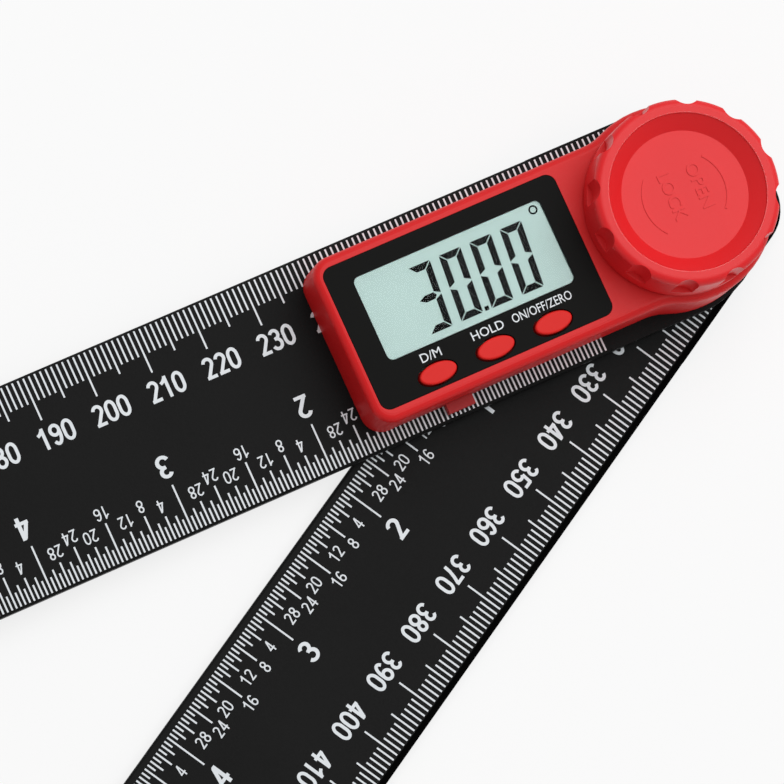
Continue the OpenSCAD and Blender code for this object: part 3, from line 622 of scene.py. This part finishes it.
# Floor: a plain pale table top, matt, just under the lower blade. It isn't a part of the gauge.
# The camera and reflections see most of it as white, and the rest keeps the gauge's soft shadow.
TABLE_REACH, TABLE_DROP, CLOUD_SIZE, WHITE_SHARE = 4000, 0.05, 400, 0.78


def seen_white(tree):
    """1 for a ray that the camera, a reflection or a clear piece sends out before any diffuse bounce, and
    0 for the rays that light the gauge: the largest of three ray kinds times a test of the bounces."""
    ray = add(tree, "ShaderNodeLightPath", {})
    seen = add(tree, "ShaderNodeMath", {"operation": "MAXIMUM"},
               (ray, "Is Camera Ray", 0), (ray, "Is Glossy Ray", 1))
    seen = add(tree, "ShaderNodeMath", {"operation": "MAXIMUM"},
               (seen, 0, 0), (ray, "Is Transmission Ray", 1))
    direct = add(tree, "ShaderNodeMath", {"operation": "LESS_THAN", 1: 0.5}, (ray, "Diffuse Depth", 0))
    return add(tree, "ShaderNodeMath", {"operation": "MULTIPLY"}, (seen, 0, 0), (direct, 0, 1))


table_white, tree, shader, place = start("white_table")
cloud = add(tree, "ShaderNodeTexNoise", {"Scale": 1 / (CLOUD_SIZE * MM)}, (place, "Object", "Vector"))
tint = add(tree, "ShaderNodeMix", {"data_type": "RGBA", 6: linear("#f4f4f4"), 7: linear("#f8f8f8")},
           (cloud, "Fac", 0))
tree.links.new(tint.outputs[2], shader.inputs["Base Color"])
shader.inputs["Roughness"].default_value = 0.9
shader.inputs["Specular IOR Level"].default_value = 0.1
share = add(tree, "ShaderNodeMath", {"operation": "MULTIPLY", 1: WHITE_SHARE}, (seen_white(tree), 0, 0))
white = add(tree, "ShaderNodeEmission", {"Color": (1, 1, 1, 1), "Strength": 1.0})
shown = add(tree, "ShaderNodeMixShader", {}, (share, 0, 0), (shader, 0, 1), (white, 0, 2))
tree.links.new(shown.outputs[0], tree.nodes["Material Output"].inputs["Surface"])
corners = TABLE_REACH * np.array([(-1, -1, 0), (1, -1, 0), (1, 1, 0), (-1, 1, 0)]) - [0, 0, TABLE_DROP]
floor = piece("floor", corners, [[0, 1, 2, 3]], table_white)

# Light: an even pale room, white to the camera and in reflections, and one large soft lamp.
# The lamp hangs high over the knob's side, so that shadows are short and fall towards the blades.
ROOM = 0.34
KEY_FROM, KEY_DISTANCE = Vector((0.35, 0.2, 0.9)), 1.3
KEY_SIZE, KEY_POWER = 1.4, 13.9
world = bpy.data.worlds.new("pale_room")
bpy.context.scene.world = world
world.use_nodes = True
tree = world.node_tree
level = add(tree, "ShaderNodeMapRange", {"To Min": ROOM, "To Max": 1.0}, (seen_white(tree), 0, "Value"))
tree.links.new(level.outputs[0], tree.nodes["Background"].inputs["Strength"])
tree.nodes["Background"].inputs["Color"].default_value = (1, 1, 1, 1)
key = bpy.data.lights.new("soft_key", "AREA")
key.energy, key.size = KEY_POWER, KEY_SIZE
lamp = bpy.data.objects.new("soft_key", key)
bpy.context.scene.collection.objects.link(lamp)
lamp.location = KEY_FROM.normalized() * KEY_DISTANCE
lamp.rotation_euler = KEY_FROM.to_track_quat("Z", "Y").to_euler()

# Camera: high above the near side of the blades, at the photograph's angle and distance.
# It looks at a point on the housing, and its roll gives the picture's slope of the blades.
TARGET = Vector((-54.66, -9.12, 6.4)) * MM
AZIMUTH, ELEVATION, DISTANCE = math.radians(199.55), math.radians(76.58), 991.3 * MM
TOP_OF_PICTURE = math.radians(-24.84)
FOCAL_PIXELS, PICTURE, SENSOR = 6000, 784, 36.0
back = Vector((math.cos(ELEVATION) * math.cos(AZIMUTH), math.cos(ELEVATION) * math.sin(AZIMUTH),
               math.sin(ELEVATION)))
right = (-back).cross(Vector((-math.sin(TOP_OF_PICTURE), math.cos(TOP_OF_PICTURE), 0))).normalized()
up = back.cross(right)
view = bpy.data.cameras.new("camera")
view.sensor_width, view.lens = SENSOR, SENSOR * FOCAL_PIXELS / PICTURE
camera = bpy.data.objects.new("camera", view)
bpy.context.scene.collection.objects.link(camera)
turn = Matrix((right, up, back)).transposed().to_4x4()
camera.matrix_world = Matrix.Translation(TARGET + DISTANCE * back) @ turn
bpy.context.scene.camera = camera
bpy.context.scene.view_settings.view_transform = "Standard"
